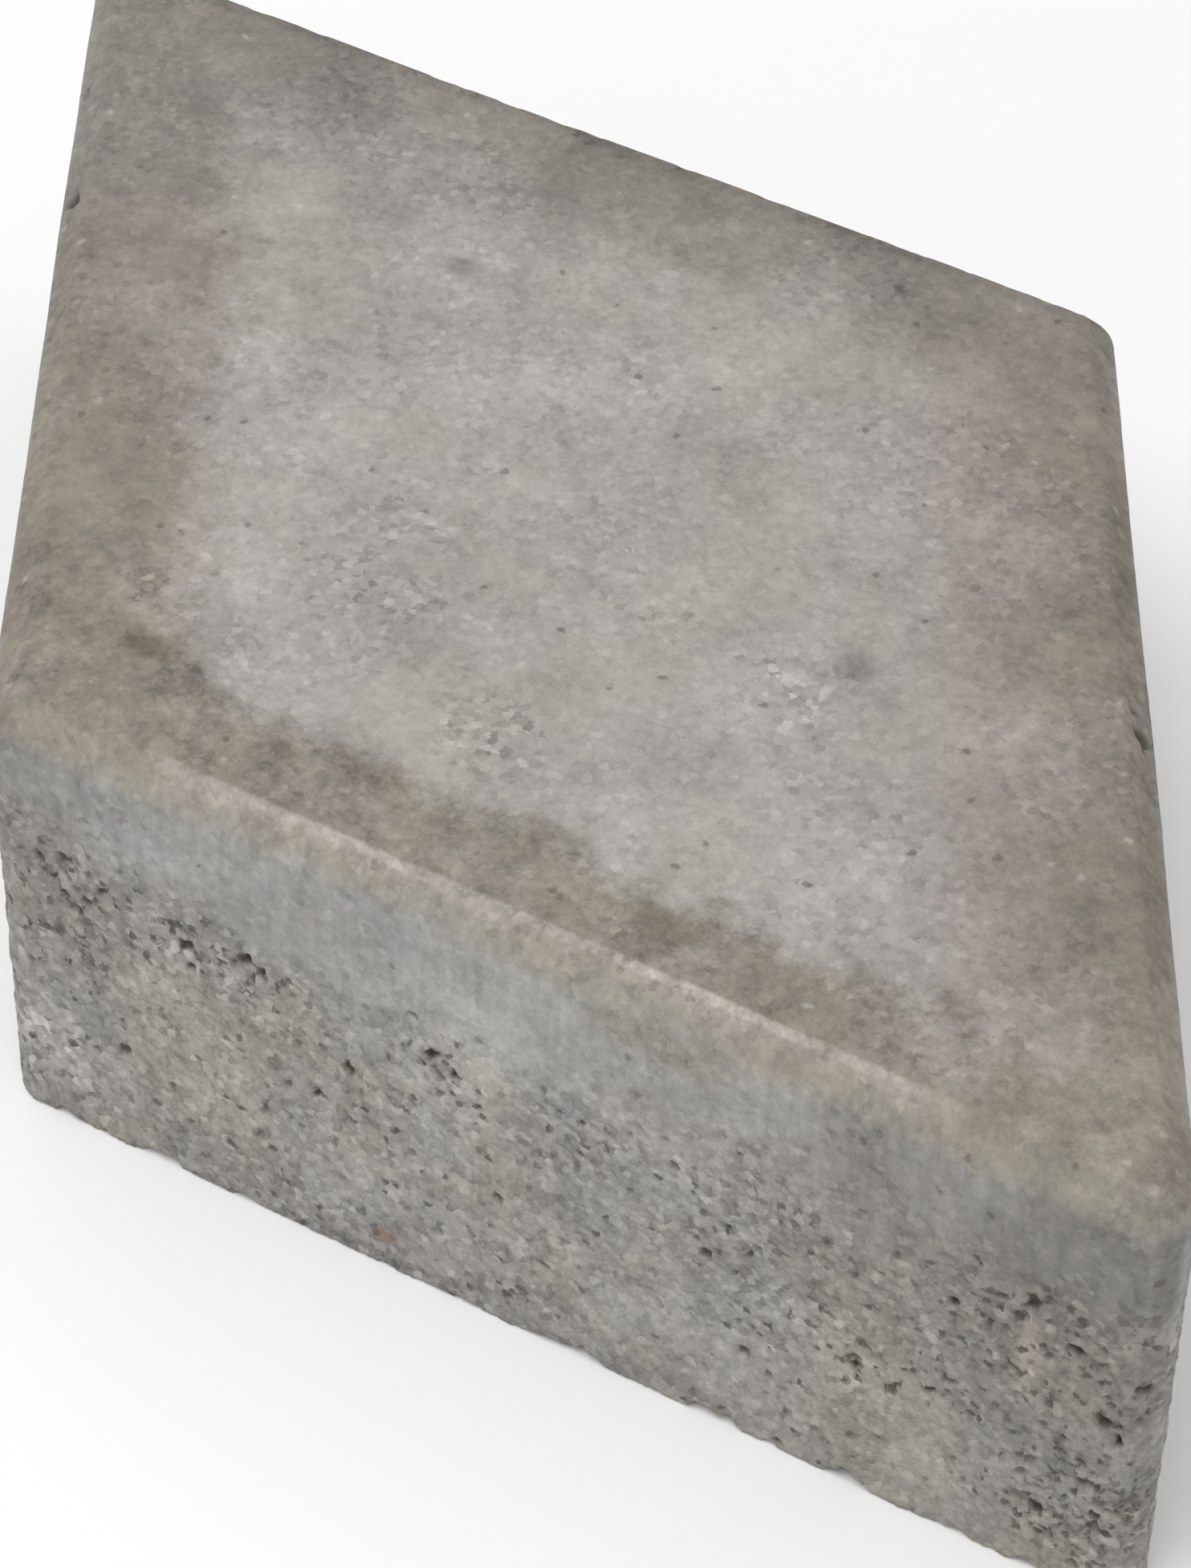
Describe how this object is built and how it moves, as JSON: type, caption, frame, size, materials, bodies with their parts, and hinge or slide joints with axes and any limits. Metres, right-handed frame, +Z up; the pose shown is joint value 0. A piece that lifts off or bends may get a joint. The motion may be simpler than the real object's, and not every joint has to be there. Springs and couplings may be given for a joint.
{
  "type": "rhombic concrete paver",
  "caption": "Thick rhombic paving unit of pressed grey concrete with rounded upright corners and a chamfer round its wearing face, for laying edge to edge on a sand bed.",
  "frame": {"origin": "centre of the bedding face, on the surface that the paver lies on", "axes": "+Z up to the wearing face, +X along the long diagonal of the plan, +Y along the short diagonal"},
  "size_m": [0.317, 0.1882, 0.08],
  "materials": {
    "concrete": "matte"
  },
  "bodies": {
    "root": {"paver": "concrete"}
  },
  "joints": []
}
